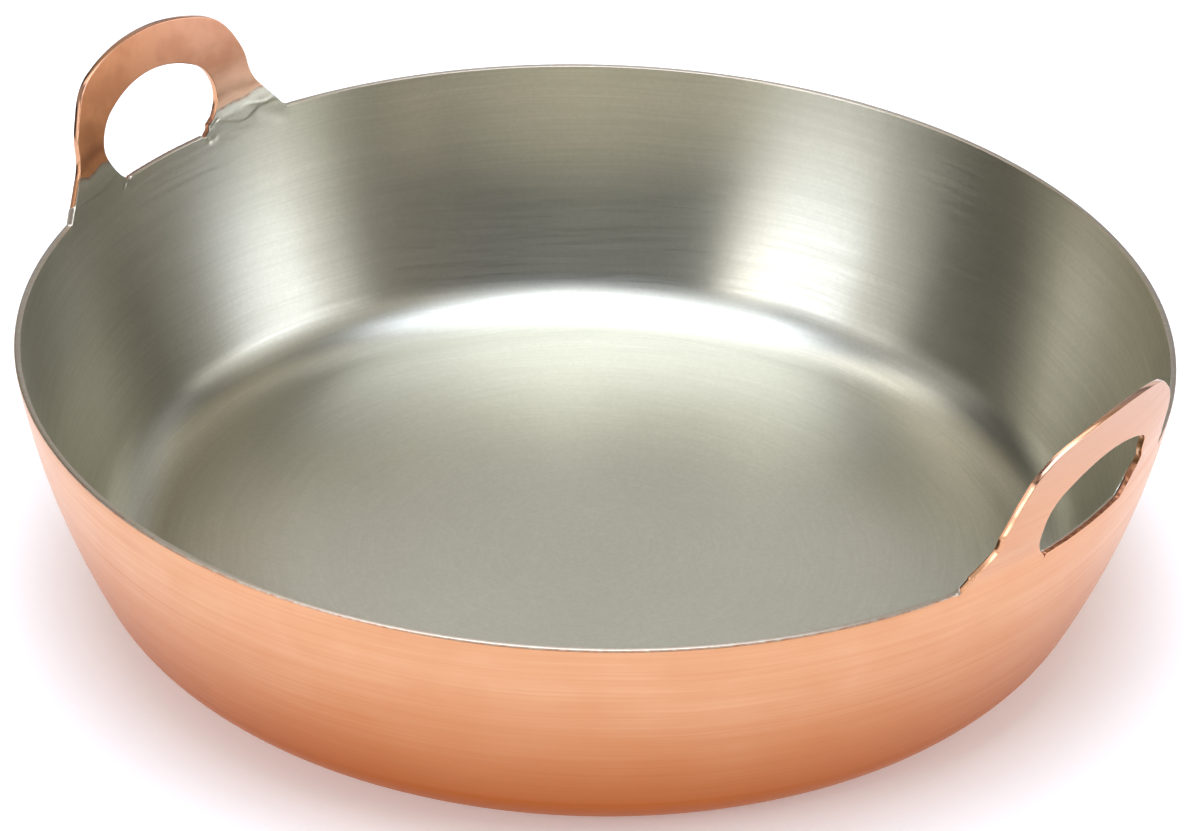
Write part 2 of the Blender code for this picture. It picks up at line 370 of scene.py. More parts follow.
def rolling_tree():
    """Rolls a flat pattern round the axis, with the hammer's slow waves and the saw's nicks."""
    tree = bpy.data.node_groups.new("roll_round_the_axis", "GeometryNodeTree")
    ports = {
        "Flat Pattern": "Geometry", "Wave Height": "Float", "Wave Length": "Float",
        "Saw Depth": "Float", "Saw Pitch": "Float", "Seed": "Float", "Finish": "Material",
    }
    for name, kind in ports.items():
        tree.interface.new_socket(name, in_out="INPUT", socket_type="NodeSocket" + kind)
    tree.interface.new_socket("Rolled Piece", in_out="OUTPUT", socket_type="NodeSocketGeometry")
    given = put(tree, "NodeGroupInput").node.outputs
    here = put(tree, "GeometryNodeInputPosition")
    turn, reach, level = put(tree, "SeparateXYZ", {0: here}).node.outputs
    cosine = put(tree, "Math", {0: turn}, operation="COSINE")
    sine = put(tree, "Math", {0: turn}, operation="SINE")
    outward = put(tree, "CombineXYZ", {0: cosine, 1: sine})
    upward = put(tree, "CombineXYZ", {2: level})
    ring = put(tree, "VectorMath", {0: outward, 1: plan_scale}, operation="MULTIPLY")
    spot = put(tree, "VectorMath", {0: ring, 1: upward}, operation="ADD")
    fineness = put(tree, "Math", {0: 1.0, 1: given["Wave Length"]}, operation="DIVIDE")
    wave = put(tree, "TexNoise", {
        "Vector": spot, "W": given["Seed"], "Scale": fineness, "Detail": 1.0,
    }, noise_dimensions="4D")
    centred = put(tree, "Math", {0: wave, 1: 0.5}, operation="SUBTRACT")
    swell = put(tree, "Math", {0: centred, 1: given["Wave Height"], 2: reach},
                operation="MULTIPLY_ADD")
    rolled = put(tree, "VectorMath", {0: outward, "Scale": swell}, operation="SCALE")
    place = put(tree, "VectorMath", {0: rolled, 1: upward}, operation="ADD")
    turned = put(tree, "GeometryNodeSetPosition", {0: given["Flat Pattern"], "Position": place})
    teeth = put(tree, "Math", {0: 1.0, 1: given["Saw Pitch"]}, operation="DIVIDE")
    grain = put(tree, "TexNoise", {"W": given["Seed"], "Scale": teeth, "Detail": 2.0},
                noise_dimensions="4D")
    bite = put(tree, "Math", {0: grain, 1: 0.5}, operation="SUBTRACT")
    sawn = put(tree, "GeometryNodeInputNamedAttribute", {"Name": "sawn"}, data_type="FLOAT")
    for share in (given["Saw Depth"], sawn):
        bite = put(tree, "Math", {0: bite, 1: share}, operation="MULTIPLY")
    normal = put(tree, "GeometryNodeInputNormal")
    move = put(tree, "VectorMath", {0: normal, "Scale": bite}, operation="SCALE")
    rough = put(tree, "GeometryNodeSetPosition", {0: turned, "Offset": move})
    smooth = put(tree, "GeometryNodeSetShadeSmooth", {0: rough})
    real = put(tree, "GeometryNodeRealizeInstances", {0: smooth})
    dressed = put(tree, "GeometryNodeSetMaterial", {0: real, "Material": given["Finish"]})
    put(tree, "NodeGroupOutput", {0: dressed})
    return tree


roll = rolling_tree()
print("rolling tree has", len(roll.nodes), "nodes")

# %% Run the tree on a pattern


def stand(name, data):
    """An object made of its data, standing in the scene."""
    thing = bpy.data.objects.new(name, data)
    bpy.context.scene.collection.objects.link(thing)
    return thing


def rolled_mesh(pattern, name, finish, **sizes):
    """The pattern rolled up by the tree, as a plain mesh whose faces point outwards."""
    holder = stand(name + "_pattern", pattern.mesh(name + "_pattern"))
    modifier = holder.modifiers.new("roll", "NODES")
    modifier.node_group = roll
    port = {item.name: item.identifier for item in roll.interface.items_tree}
    for title, value in {**sizes, "Finish": finish}.items():
        modifier[port[title.replace("_", " ")]] = value
    bpy.context.view_layer.update()
    evaluated = holder.evaluated_get(bpy.context.evaluated_depsgraph_get())
    mesh = bpy.data.meshes.new_from_object(evaluated)
    bpy.data.objects.remove(holder)
    work = bmesh.new()
    work.from_mesh(mesh)
    bmesh.ops.recalc_face_normals(work, faces=work.faces)
    work.to_mesh(mesh)
    work.free()
    mesh.name = name
    print(name, "rolled into", len(mesh.polygons), "faces")
    return mesh


# %% [markdown]
# ## Columns round the rim
#
# Both sheets share one rule for their columns. Round the plain rim they stand about a degree
# apart. Under a foot they run from the foot's outer edge to the slot, and under the slot they
# follow its floor. So the grid of the wall flows straight up into the handle, with no seam.

# %% Where the columns stand
copper_rim_level = bowl_height - 0.6 * mm
arris = 0.22 * mm
floor = copper_rim_level - arris
foot_ease, open_ease = 0.6, 0.85


def eased(count, ends):
    """Numbers from 0 to 1 that crowd towards both ends."""
    even = np.linspace(0.0, 1.0, count)
    return even + ends * np.sin(2 * math.pi * even) / (-2 * math.pi)


class Columns:
    """The turns of the columns, and which of them stand under each foot, slot and open rim."""

    def __init__(self, outer, inner, face, foot_steps, slot_steps, rim_steps):
        reach = float(radius_at(face, bowl_height))
        half_foot = math.asin(outer / reach)
        gap = half_foot + (math.pi - 2 * half_foot) * eased(rim_steps + 1, open_ease)[1:-1]
        self.share = eased(foot_steps + 1, foot_ease)
        self.foot = {}
        self.slot = {}
        self.rim = {}
        turns = []
        size = foot_steps + 1
        for side in (0, 1):
            feet = []
            for foot in (0, 1):
                near = trimmed("slot", side, foot, inner, floor)
                feet.append(np.arcsin((near + (outer - near) * self.share) / reach))
            left = 1 - eased(slot_steps + 1, open_ease)[1:-1]
            slot = feet[1][0] - (feet[0][0] + feet[1][0]) * left
            handle = np.concatenate([-feet[0][::-1], slot, feet[1]])
            turns += [handle + side * math.pi, gap + side * math.pi]
            full = len(handle) + len(gap)
            start = side * full
            self.foot[side, 0] = np.arange(start + size - 1, start - 1, -1)
            self.foot[side, 1] = np.arange(start + size + len(slot), start + len(handle))
            self.slot[side] = np.arange(start + size, start + size + len(slot))
            self.rim[side] = np.arange(start + len(handle), start + full)
        self.turn = np.concatenate(turns)


print("crowded numbers", np.round(eased(5, foot_ease), 2))

# %% [markdown]
# ## The rounded edge of a sheet
#
# Sheet that has been cut and filed has a flat edge with softened arrises, and that edge is
# what catches the light. A Bevel modifier would do, but here rings of points are laid between
# the front and the back face along the whole outline, so each stretch of edge can be shaped.

# %% Rings along an outline
mitre_limit = 1.2


def outward_of(turn, level):
    """For each point of a closed outline, the direction away from the sheet, as (across, up)."""
    around = 2 * math.pi * rim_inner_radius
    line = np.stack([np.unwrap(turn) * rim_inner_radius, level], 1)
    wrap = around * round((line[-1, 0] - line[0, 0]) / around)
    before, after = np.roll(line, 1, 0), np.roll(line, -1, 0)
    before[0, 0] -= wrap
    after[-1, 0] += wrap
    both = np.zeros_like(line)
    for way in (line - before, after - line):
        size = np.hypot(way[:, 0], way[:, 1])[:, None]
        both += np.divide(way, size, out=np.zeros_like(way), where=size > 0)
    size = np.hypot(both[:, 0], both[:, 1])
    mitre = 2.0 / np.maximum(size, mitre_limit)
    return np.stack([-both[:, 1], both[:, 0]], 1) / size[:, None] * mitre[:, None]


def edge_rings(pattern, front, back, turns, levels, distances, outs, **marks):
    """Weaves rings between two outlines: distances and outs have one row for each ring."""
    points = np.vstack(pattern.points)[front]
    direction = outward_of(points[:, 0], points[:, 2])
    across = turns + outs * direction[:, 0] / rim_inner_radius
    up = levels + outs * direction[:, 1]
    rings = pattern.add(across, reach_at(across, distances, up), up, rise=levels / bowl_height,
                        **marks)
    pattern.weave(np.vstack([front, rings, back]), closed=True)


print("corners are mitred up to", round(2.0 / mitre_limit, 2), "times")

# %% [markdown]
# ## One face of a bowl
#
# The copper has two faces and the tin has two, and all four are the same floor, corner and
# wall at their own distance. One function lays any of them, from the middle up to the rim.
# A Screw modifier could turn one line instead, but then the columns couldn't meet the feet.

# %% Floor, corner and wall
groove_width = 3 * mm


def lay_bowl(pattern, columns, distance, rings, rows, top, crowding, groove=0.0,
             inward=np.zeros_like, **marks):
    """Lays one face up to the level top, and returns the numbers of its top row.

    inward(level) is how far the wall stands in, and groove is how deep the floor's edge dips.
    """
    turn = columns.turn
    corner_rows, wall_rows = rows
    lean = np.linspace(math.pi / 2, corner_lean, corner_rows + 1)[:, None]
    reach, level = on_arc(corner_centre, floor_corner_radius + distance, lean)
    start = level[-1, 0]
    pole = pattern.add(0.0, 0.0, bowl_outside - distance)
    grids = []
    for out, height in ((rings[:, None], bowl_outside - distance), (reach, level)):
        dip = groove * np.exp(-np.square((out - floor_radius) / groove_width))
        grids.append(pattern.add(turn, out, height - dip))
    share = 1 - (1 - np.linspace(0, 1, wall_rows + 1)[1:]) ** crowding
    level = start + (top - start) * share[:, None]
    grids.append(pattern.add(turn, radius_at(distance - inward(level), level), level,
                             rise=level / bowl_height, **marks))
    body = np.vstack(grids)
    pattern.cap(int(pole), body[0].tolist())
    pattern.weave(body, closed=True)
    return body[-1]


print("the wall starts", round(on_arc(corner_centre, floor_corner_radius, corner_lean)[1] / mm, 1),
      "mm up")

# %% [markdown]
# ## Copper: the bowl and both handles in one pattern
#
# The handles are brazed to low stubs on the rim and filed flush, so outside nobody can feel
# the joint. They are drawn in one pattern with the bowl and cut apart at the joint later.
# That is how the smith's file makes them match, and it keeps the outer face free of a seam.

# %% Rows of the copper
leg_top = bowl_height + 13 * mm
# Rows of a leg: close together up to the joint, one just above it, then on to the arch.
leg_levels = np.concatenate([
    np.linspace(floor, joint_level, 11),
    [joint_level + 0.3 * mm],
    np.linspace(joint_level + 0.8 * mm, leg_top, 18),
])
arch_spans = 96


def matched_edge(edge):
    """Points on half an edge, by level in the leg and in even steps over the arch."""
    rising = edge[: int(np.argmax(edge[:, 1] > leg_top + 0.1 * mm))]
    legs = np.interp(leg_levels, rising[:, 1], rising[:, 0])
    rest = np.vstack([[legs[-1], leg_levels[-1]], edge[len(rising):]])
    length = np.concatenate([[0], np.cumsum(np.hypot(*np.diff(rest, axis=0).T))])
    steps = np.linspace(0, length[-1], arch_spans + 1)[1:]
    over = np.stack([np.interp(steps, length, rest[:, k]) for k in (0, 1)], 1)
    return np.vstack([np.stack([legs, leg_levels], 1), over])


outer_edge = matched_edge(handle_edge(arris, floor))
inner_edge = matched_edge(slot_edge(arris, floor))
arch_half = np.concatenate([outer_edge, inner_edge], 1)
print("half a handle has", len(arch_half), "sections")

# %% The copper's two faces
copper = Pattern("sawn", "edge", "rise", "inner", "warm")
copper_steps = (26, 80, 150)  # under a foot, under a slot, along the open rim
copper_rings = np.array([40, 80, 110, 130, 142]) * mm
copper_crowding = 1.25
least_warm = 0.15


def whole_arch(side):
    """Outer and slot edge of a whole handle, from foot 0 over the top to foot 1."""
    halves = []
    for foot, sign in ((0, -1), (1, 1)):
        half = arch_half * (sign, 1, sign, 1)
        half[:, 0] = sign * trimmed("outline", side, foot, arch_half[:, 0], arch_half[:, 1])
        half[:, 2] = sign * trimmed("slot", side, foot, arch_half[:, 2], arch_half[:, 3])
        half[:, 3] = shifted_top(side, half[:, 2], half[:, 3])
        halves.append(half)
    both = np.vstack([halves[0], halves[1][-2::-1]])
    return both[:, :2], both[:, 2:]


def copper_face(distance_wall, distance_handle, rows, skin):
    """One face of bowl and handles, where skin is 1 on the inner side. Returns its grids."""
    columns = Columns(outer_edge[0, 0], inner_edge[0, 0], distance_wall, *copper_steps)
    rim = lay_bowl(copper, columns, distance_wall, copper_rings, rows,
                   floor - rim_drop(columns.turn), copper_crowding, inner=skin)
    handles = []
    for side in (0, 1):
        outer, inner = whole_arch(side)
        place = inner[:, None] + (outer - inner)[:, None] * columns.share[:, None]
        across, up = place[1:-1, :, 0], place[1:-1, :, 1]
        distance = np.where(up > above_joint, distance_handle, distance_wall)
        turn = side * math.pi + np.arcsin(across / reach_at(side * math.pi, distance, up))
        swept = smoothstep(-handle_half_width, handle_half_width, across) if side else 0.5
        grid = copper.add(turn, reach_at(turn, distance, up), up, rise=up / bowl_height,
                          inner=skin, warm=skin * (least_warm + (1 - least_warm) * swept))
        feet = [rim[columns.foot[side, foot]] for foot in (0, 1)]
        grid = np.vstack([feet[0], grid, feet[1]])
        copper.weave(grid)
        handles.append(grid)
    return columns, rim, handles


outside = copper_face(bowl_outside, bowl_outside, rows=(18, 46), skin=0.0)
inside = copper_face(bowl_inside, 0.0, rows=(8, 10), skin=1.0)
print("copper faces", len(copper.faces))

# %% The copper's edges
sawn_height = {0: 11 * mm, 1: 9 * mm}
sawn_fade = 5 * mm


def outline_of(face, side=None):
    """Point numbers along the outer outline, or along the slot of one side."""
    columns, rim, handles = face
    if side is not None:
        return np.concatenate([rim[columns.slot[side]], handles[side][::-1, 0]])
    return np.concatenate([
        handles[0][:, -1], rim[columns.rim[0]], handles[1][:, -1], rim[columns.rim[1]]
    ])


def copper_edge(side=None):
    """A flat edge between two round arrises, rough where the saw cut the slot's floor."""
    points = np.vstack(copper.points)
    front, back = outline_of(outside, side), outline_of(inside, side)
    turn, _, level = points[front].T
    bend = np.radians([30, 60, 90])
    share = np.concatenate([1 - np.cos(bend), [0.0], 1 - np.cos(bend)[::-1]])
    out = np.concatenate([np.sin(bend), [1.0], np.sin(bend)[::-1]])[:, None] * arris
    deep = np.where(level > above_joint, 0.0, bowl_inside)
    near = bowl_outside - arris * share[:3, None] + 0 * deep
    far = deep + arris * share[4:, None]
    distance = np.vstack([near, (near[-1:] + far[:1]) / 2, far])
    blend = (bowl_outside - distance) / (bowl_outside - deep)
    rough = 0.0
    if side is not None:
        rough = np.clip((sawn_height[side] - level + bowl_height) / sawn_fade, 0, 1)
    edge_rings(copper, front, back, turn + (points[back, 0] - turn) * blend, level + 0 * blend,
               distance, out, sawn=rough + 0 * blend, edge=1.0)


for outline in (None, 0, 1):
    copper_edge(outline)
print("copper points", copper.count, "faces", len(copper.faces))

# %% [markdown]
# ## Tin: a lining that follows the hand
#
# Tin is melted in the bowl and wiped round with a wad of cloth. It covers the inside, turns
# over the rim, laps up the handles' feet and thins out there in a wavy line. Under it the
# brazed joint shows as a raised line. The wavy line and the ridge differ from foot to foot.

# %% The feet, one by one
foot_marks = {
    # (side, foot): tin line and raised line, both as (across, height) pairs in mm
    (1, 1): (
        ((29.6, 10.7), (34.0, 11.6), (38.5, 10.6), (43.0, 10.3), (45.5, 11.6), (48.0, 12.6)),
        ((22.0, 7.6), (26.2, 6.2), (29.6, 4.9), (34.5, 2.4), (41.9, 2.7), (48.0, 3.5), (60.0, 4.4)),
    ),
    (1, 0): (
        ((29.0, 7.4), (33.0, 7.9), (37.5, 8.6), (41.0, 8.5), (43.7, 9.1), (48.3, 10.5)),
        ((22.0, 1.2), (27.6, 3.4), (33.0, 2.2), (38.0, 0.4), (41.8, 0.6), (46.8, 3.6), (60.0, 4.6)),
    ),
    (0, 1): (
        ((29.0, 9.4), (34.0, 10.2), (40.0, 9.6), (48.0, 11.2)),
        ((22.0, 4.6), (30.0, 3.4), (40.0, 2.6), (48.0, 3.4), (60.0, 4.3)),
    ),
    (0, 0): (
        ((29.0, 8.6), (35.0, 9.2), (42.0, 9.9), (48.0, 10.6)),
        ((22.0, 3.0), (28.0, 3.6), (36.0, 2.0), (44.0, 2.6), (60.0, 4.2)),
    ),
}
foot_dents = {
    # (side, foot): marks as (start, end, width, depth) in mm, where less than 0 is a dent
    (1, 1): (
        ((18.8, 1.0), (22.8, -2.3), 0.45, -0.22), ((17.1, 0.6), (20.8, -1.6), 0.60, 0.10),
        ((29.3, 3.2), (37.7, -2.4), 1.20, 0.05), ((57.6, -0.7), (54.3, 1.8), 1.10, 0.10),
    ),
    (1, 0): (
        ((21.2, -0.9), (23.7, -2.9), 0.90, -0.11), ((23.7, -2.9), (26.7, -2.4), 0.90, -0.11),
        ((27.9, -3.2), (36.1, -4.4), 0.90, 0.04), ((24.7, 2.1), (28.4, 3.9), 0.60, -0.12),
        ((42.0, 5.6), (46.7, 4.6), 0.60, 0.07), ((46.7, 4.6), (50.1, 4.3), 0.60, 0.09),
        ((50.1, 4.3), (53.2, 5.2), 0.70, 0.10), ((47.0, 1.4), (55.7, -2.3), 2.60, -0.15),
    ),
    (0, 1): (
        ((23.0, 0.4), (26.5, -2.0), 0.60, -0.14), ((50.0, 2.2), (56.5, 0.2), 1.00, 0.10),
    ),
    (0, 0): (
        ((22.0, 0.2), (25.0, -1.8), 0.60, -0.14), ((49.0, 2.0), (56.0, 0.4), 1.00, 0.10),
    ),
}

foot_lip_height = {(1, 1): 4.3 * mm, (1, 0): 0.6 * mm, (0, 1): 0.4 * mm, (0, 0): 0.3 * mm}
smoothing, line_points = 12, 200


def along(line, across):
    """A smooth height above the rim at a place across the foot, from a few measured points."""
    knots = np.array(line) * mm
    fine = np.linspace(knots[0, 0], knots[-1, 0], line_points)
    rough = np.interp(fine, knots[:, 0], knots[:, 1])
    window = np.hanning(2 * smoothing + 1)
    padded = np.pad(rough, smoothing, mode="edge")
    return np.interp(across, fine, np.convolve(padded, window / window.sum(), mode="valid"))


print("marked feet", len(foot_marks))

# %% How the tin lies over a foot


def relief(side, foot, across, level):
    """How far the tin's face stands in from the wall over a foot, in metres."""
    tin_line, seam = foot_marks[side, foot]
    height = level - bowl_height
    over = height - along(seam, across)
    body = 0.12 * mm * smoothstep(-6 * mm, 3 * mm, height)
    step = 0.10 * mm * smoothstep(-1.1 * mm, 1.1 * mm, over)
    ridge = 0.06 * mm * np.exp(-np.square(over / (0.6 * mm)))
    heel = -0.03 * mm * np.exp(-np.square((over + 1.4 * mm) / (0.8 * mm)))
    cover = 0.10 * mm * smoothstep(joint_level - 0.2 * mm, joint_level + 0.5 * mm, level)
    fade = smoothstep(bowl_height - 9 * mm, bowl_height - 1 * mm, level)
    top = body + np.maximum(step + ridge + heel, cover)
    thinning = 1 - smoothstep(0.0, 4.5 * mm, along(tin_line, across) - height)
    return top * fade * (1 - thinning) + 0.06 * mm * thinning


def marks_on(side, foot, across, level):
    """How far the small marks of hammer, file and rag stand in, in metres."""
    spot = np.stack(np.broadcast_arrays(across, level - bowl_height), -1) / mm
    total = np.zeros(spot.shape[:-1])
    for start, end, width, depth in foot_dents[side, foot]:
        way = np.subtract(end, start)
        share = np.clip((spot - start) @ way / (way @ way), 0, 1)
        off = np.linalg.norm(spot - start - share[..., None] * way, axis=-1)
        total += depth * mm * np.exp(-np.square(off / width))
    return total


sample = relief(1, 1, np.array(40 * mm), np.array(bowl_height + 3.2 * mm))
print("raised line over a foot", round(float(sample) / mm, 2), "mm")

# %% Where the tin ends
lining = Pattern("sawn", "thin", "rise")
tin_rim_level = bowl_height - 0.35 * mm
tin_slot_level = copper_rim_level - 0.1 * mm
tin_insets = (0.1 * mm, 0.15 * mm)  # what it leaves bare along the outer and the slot edge
tin_steps = (62, 60, 120)  # under a foot, under a slot, along the open rim


def foot_edges(level):
    """Where the tin ends on a foot at each level, at the outer and at the slot edge."""
    ends = []
    for edge_of, inset in zip((handle_edge, slot_edge), tin_insets):
        edge = edge_of(inset, bowl_height - 1 * mm)
        leg = edge[: int(np.argmax(edge[:, 1] > leg_top + 1 * mm))]
        ends.append(np.interp(level, leg[:, 1], leg[:, 0]))
    return ends


tin_foot_end = foot_edges(tin_rim_level)[0]
tin_slot_end = foot_edges(tin_slot_level)[1]


def tin_top(columns):
    """The level of the wall's last row: lower over a slot's floor, and lower in a nick."""
    top = np.full(len(columns.turn), tin_rim_level)
    for side in (0, 1):
        top[columns.slot[side]] = tin_slot_level
        for foot in (0, 1):
            rise = (tin_rim_level - tin_slot_level) * columns.share
            top[columns.foot[side, foot]] = tin_slot_level + rise
    return top - rim_drop(columns.turn)


print("tin under a foot from", round(tin_slot_end / mm, 1), "to", round(tin_foot_end / mm, 1), "mm")

# %% The tin's two faces
flap_rows = 26
floor_crowding = 1.6
foot_reach = 70 * mm
flap_seat = -0.05 * mm
first_guess, guesses = 25 * mm, 3


def wall_relief(turn, top, level):
    """How far the tin stands in on the wall below the feet."""
    inward = np.zeros_like(level)
    for side, foot in foot_marks:
        facing = 1 - 2 * side
        local = (2 * foot - 1) * np.sin(turn) * facing * rim_inner_radius
        under = (local >= 0) & (np.cos(turn) * facing > 0) & (local < foot_reach)
        across, here, end = local[under], level[:, under], top[under]
        slot_end = float(trimmed("slot", side, foot, tin_slot_end, tin_slot_level))
        taper = smoothstep(0.0, 2.5 * mm, handle_foot_half_width - across + 0.2 * mm)
        lip = smoothstep(0.0, 2.0 * mm, across - slot_end)
        calm = 1 - smoothstep(end - 1.2 * mm, end - 0.2 * mm, here) * (lip < 1)
        shape = relief(side, foot, across, here) * taper * lip
        inward[:, under] = shape + marks_on(side, foot, across, here) * calm
    return inward


def tin_face(distance, floor_rings, rows, crowding, front):
    """One face of the lining: floor, corner, wall and a flap up each foot of the handles."""
    columns = Columns(tin_foot_end, tin_slot_end, distance, *tin_steps)
    top = tin_top(columns)
    share = 1 - (1 - np.linspace(0, 1, floor_rings + 1)[1:-1]) ** floor_crowding
    worked = {}
    if front:
        # The spinning tool leaves a shallow groove where the floor meets the corner.
        worked["groove"] = 0.10 * mm
        worked["inward"] = lambda level: wall_relief(columns.turn, top, level)
    rim = lay_bowl(lining, columns, distance, floor_radius * share, rows, top, crowding,
                   **worked)
    flaps = {}
    for side, foot in foot_marks:
        under, tin_line = columns.foot[side, foot], foot_marks[side, foot][0]
        base = top[under]
        climb = np.linspace(0, 1, flap_rows + 1)[1:, None]
        guess = first_guess + (tin_foot_end - first_guess) * columns.share
        # Where a column ends depends on how high it goes, so the end is found in a few rounds.
        for _ in range(guesses):
            up = base + (bowl_height + along(tin_line, guess) - base) * climb
            outer, inner = foot_edges(up)
            outer = trimmed("outline", side, foot, outer, up)
            inner = trimmed("slot", side, foot, inner, up)
            across = inner + (outer - inner) * columns.share
            guess = across[-1]
        if front:
            away = distance - relief(side, foot, across, up) - marks_on(side, foot, across, up)
        else:
            away = np.where(up > joint_level, flap_seat, distance)
        swing = (2 * foot - 1) * np.arcsin(across / reach_at(side * math.pi, away, up))
        turn = side * math.pi + swing
        edge = bowl_height + along(tin_line, across) - up
        grid = lining.add(turn, reach_at(turn, away, up), up,
                          thin=1 - smoothstep(0.0, 1.6 * mm, edge), rise=up / bowl_height)
        flaps[side, foot] = np.vstack([rim[under], grid])
        lining.weave(flaps[side, foot])
    return columns, rim, flaps


tin_front = tin_face(0.0, floor_rings=28, rows=(16, 50), crowding=1.8, front=True)
tin_back = tin_face(tin_thickness, floor_rings=4, rows=(8, 10), crowding=1.0, front=False)
print("tin faces", len(lining.faces))

# %% The tin's lip over the rim
slot_lap = {0: 0.35, 1: 0.62}
lap_ramp = 4
# The least copper tone over the lip: partly wear of the tin, partly painted shade.
least_worn_and_shade = 0.35
lip_shape = np.array([
    # (outward from the tin's inner face, up past its rim) in millimetres
    (0.03, 0.18), (0.09, 0.30), (0.20, 0.35), (1.10, 0.35), (1.82, 0.35), (2.02, 0.27),
    (2.11, 0.10), (2.14, -0.10), (2.11, -0.35), (2.04, -0.30), (1.80, -0.20), (0.62, -0.20),
    (0.42, -0.28),
]) * mm


def tin_outline(face):
    """Point numbers along the tin's whole edge, and how much of a lip each has."""
    columns, rim, flaps = face
    numbers, lip = [], []
    for side in (0, 1):
        slot, rest = rim[columns.slot[side]], rim[columns.rim[side]]
        from_end = np.minimum(np.arange(len(slot)), np.arange(len(slot))[::-1])
        lapped = slot_lap[side] * np.clip(from_end / lap_ramp, 0, 1)
        ways = ((0, 1, slot, lapped), (1, -1, rest, np.ones(len(rest))))
        for foot, order, onward, its_lip in ways:
            grid = flaps[side, foot]
            over = np.concatenate([grid[:-1, -1], grid[-1, ::-1], grid[-2::-1, 0]])
            height = np.vstack(lining.points)[grid[:-1, -1], 2] - bowl_height
            past = height - foot_lip_height[side, foot]
            weight = np.zeros(len(over))
            weight[:len(past)] = 1 - smoothstep(-0.4 * mm, 0.8 * mm, past)
            numbers += [over[::order], onward]
            lip += [weight[::order], its_lip]
    return np.concatenate(numbers), np.concatenate(lip)


def tin_edge():
    """The tin's edge: folded over the open rim, and thinned out to nothing over the feet."""
    points = np.vstack(lining.points)
    front, lip = tin_outline(tin_front)
    back, _ = tin_outline(tin_back)
    depths = []
    for turn, reach, level in (points[front].T, points[back].T):
        depths.append(reach - reach_at(turn, 0.0, level))
    folded = np.minimum(lip * 3, 1)
    share = np.linspace(0, 1, len(lip_shape) + 2)[1:-1, None]
    bulge = np.sin(math.pi * share) * 0.05 * mm
    out = lip_shape[:, 1:] * folded + bulge * (1 - folded)
    plain = depths[0] + (depths[1] - depths[0]) * share
    distance = lip_shape[:, :1] * lip + plain * (1 - folded)
    levels = points[front, 2] + (points[back, 2] - points[front, 2]) * share * (1 - folded)
    # Copper's tone over the lip is partly wear of the tin and partly painted shade; on the outer
    # face it stands in for the shadow under the lip.
    outer = smoothstep(1.8 * mm, 2.0 * mm, lip_shape[:, :1])
    worn_and_shade = (least_worn_and_shade + (1 - least_worn_and_shade) * outer) * folded
    edge_rings(lining, front, back, points[front, 0] + 0 * share, levels, distance, out,
               thin=worn_and_shade)


tin_edge()
print("tin points", lining.count, "faces", len(lining.faces))

# %% [markdown]
# ## Lines that run round the pot
#
# Spinning and wiping leave fine lines that run round the axis. They could be painted by hand,
# but stretched noise gives them: its coordinate hardly changes along a turn and changes fast
# across it. The coordinate is made from Object coordinates, so it follows any wall here.
# Real hair lines are a tenth of a millimetre apart. Here they are drawn about ten times as
# coarse, since a pixel of the picture is larger than a real one.

# %% Clouds and round lines


def clouds(tree, size, seed, detail=3.0):
    """Soft noise whose features are about the given size in metres."""
    place = put(tree, "TexCoord", take="Object")
    return put(tree, "TexNoise", {"Vector": place, "W": seed, "Scale": 1 / size,
                                  "Detail": detail}, noise_dimensions="4D")


def from_axis(tree):
    """The way out from the axis, its length and the level, in metres."""
    place = put(tree, "TexCoord", take="Object")
    east, north, level = put(tree, "SeparateXYZ", {0: place}).node.outputs
    plan = put(tree, "CombineXYZ", {0: east, 1: north})
    return plan, put(tree, "VectorMath", {0: plan}, "Value", operation="LENGTH"), level


def round_lines(tree, around, across, seed, detail=2.0, sway=4 * mm):
    """Stretched noise: features `around` metres long round the pot and `across` metres wide."""
    plan, reach, level = from_axis(tree)
    heading = put(tree, "VectorMath", {0: plan}, operation="NORMALIZE")
    stretch = rim_inner_radius / around
    flat = put(tree, "VectorMath", {0: heading, 1: (stretch, stretch, 0)}, operation="MULTIPLY")
    wander = clouds(tree, 60 * mm, seed, 1.0)
    climb = put(tree, "Math", {0: wander, 1: sway, 2: level}, operation="MULTIPLY_ADD")
    for operation, value in (("ADD", reach), ("MULTIPLY", 1 / across)):
        climb = put(tree, "Math", {0: climb, 1: value}, operation=operation)
    rise = put(tree, "CombineXYZ", {2: climb})
    spot = put(tree, "VectorMath", {0: flat, 1: rise}, operation="ADD")
    return put(tree, "TexNoise", {"Vector": spot, "W": seed, "Scale": 1.0, "Detail": detail,
                                  "Roughness": 0.6}, noise_dimensions="4D")


print("the longest line runs", round(160 * mm / rim_inner_radius * 180 / math.pi), "degrees round")

# %% [markdown]
# ## Coats, bumps and brushed metal
#
# A worn finish is many thin coats: each tone lies over the last where a mark of the mesh or
# a cloud of noise lets it. Bumps are stacked in the same way, from the broad to the fine, and
# a brushed metal then spreads its highlight across the lines. A painted texture could do it
# too, but it has one size, and these stay sharp from near and far.

# %% Coats, bumps and metal


def strength(tree, *ramps):
    """Values multiplied together, each a socket or (value, low, high, start, end) mapped."""
    whole = None
    for ramp in ramps:
        if isinstance(ramp, tuple):
            # Noise without its own start and end lies mostly between 0.3 and 0.7.
            value, low, high, start, end = (*ramp, 0.3, 0.7)[:5]
            ramp = put(tree, "MapRange", {"Value": value, "From Min": start, "From Max": end,
                                          "To Min": low, "To Max": high})
        whole = ramp if whole is None else put(tree, "Math", {0: whole, 1: ramp},
                                               operation="MULTIPLY")
    return whole


def coats(tree, colour, *layers):
    """Thin coats of colour over one another, each a tone and what its strength is made of."""
    for tone, *ramps in layers:
        share = strength(tree, *ramps)
        colour = put(tree, "Mix", {0: share, 6: colour, 7: tone}, 2, data_type="RGBA")
    return colour


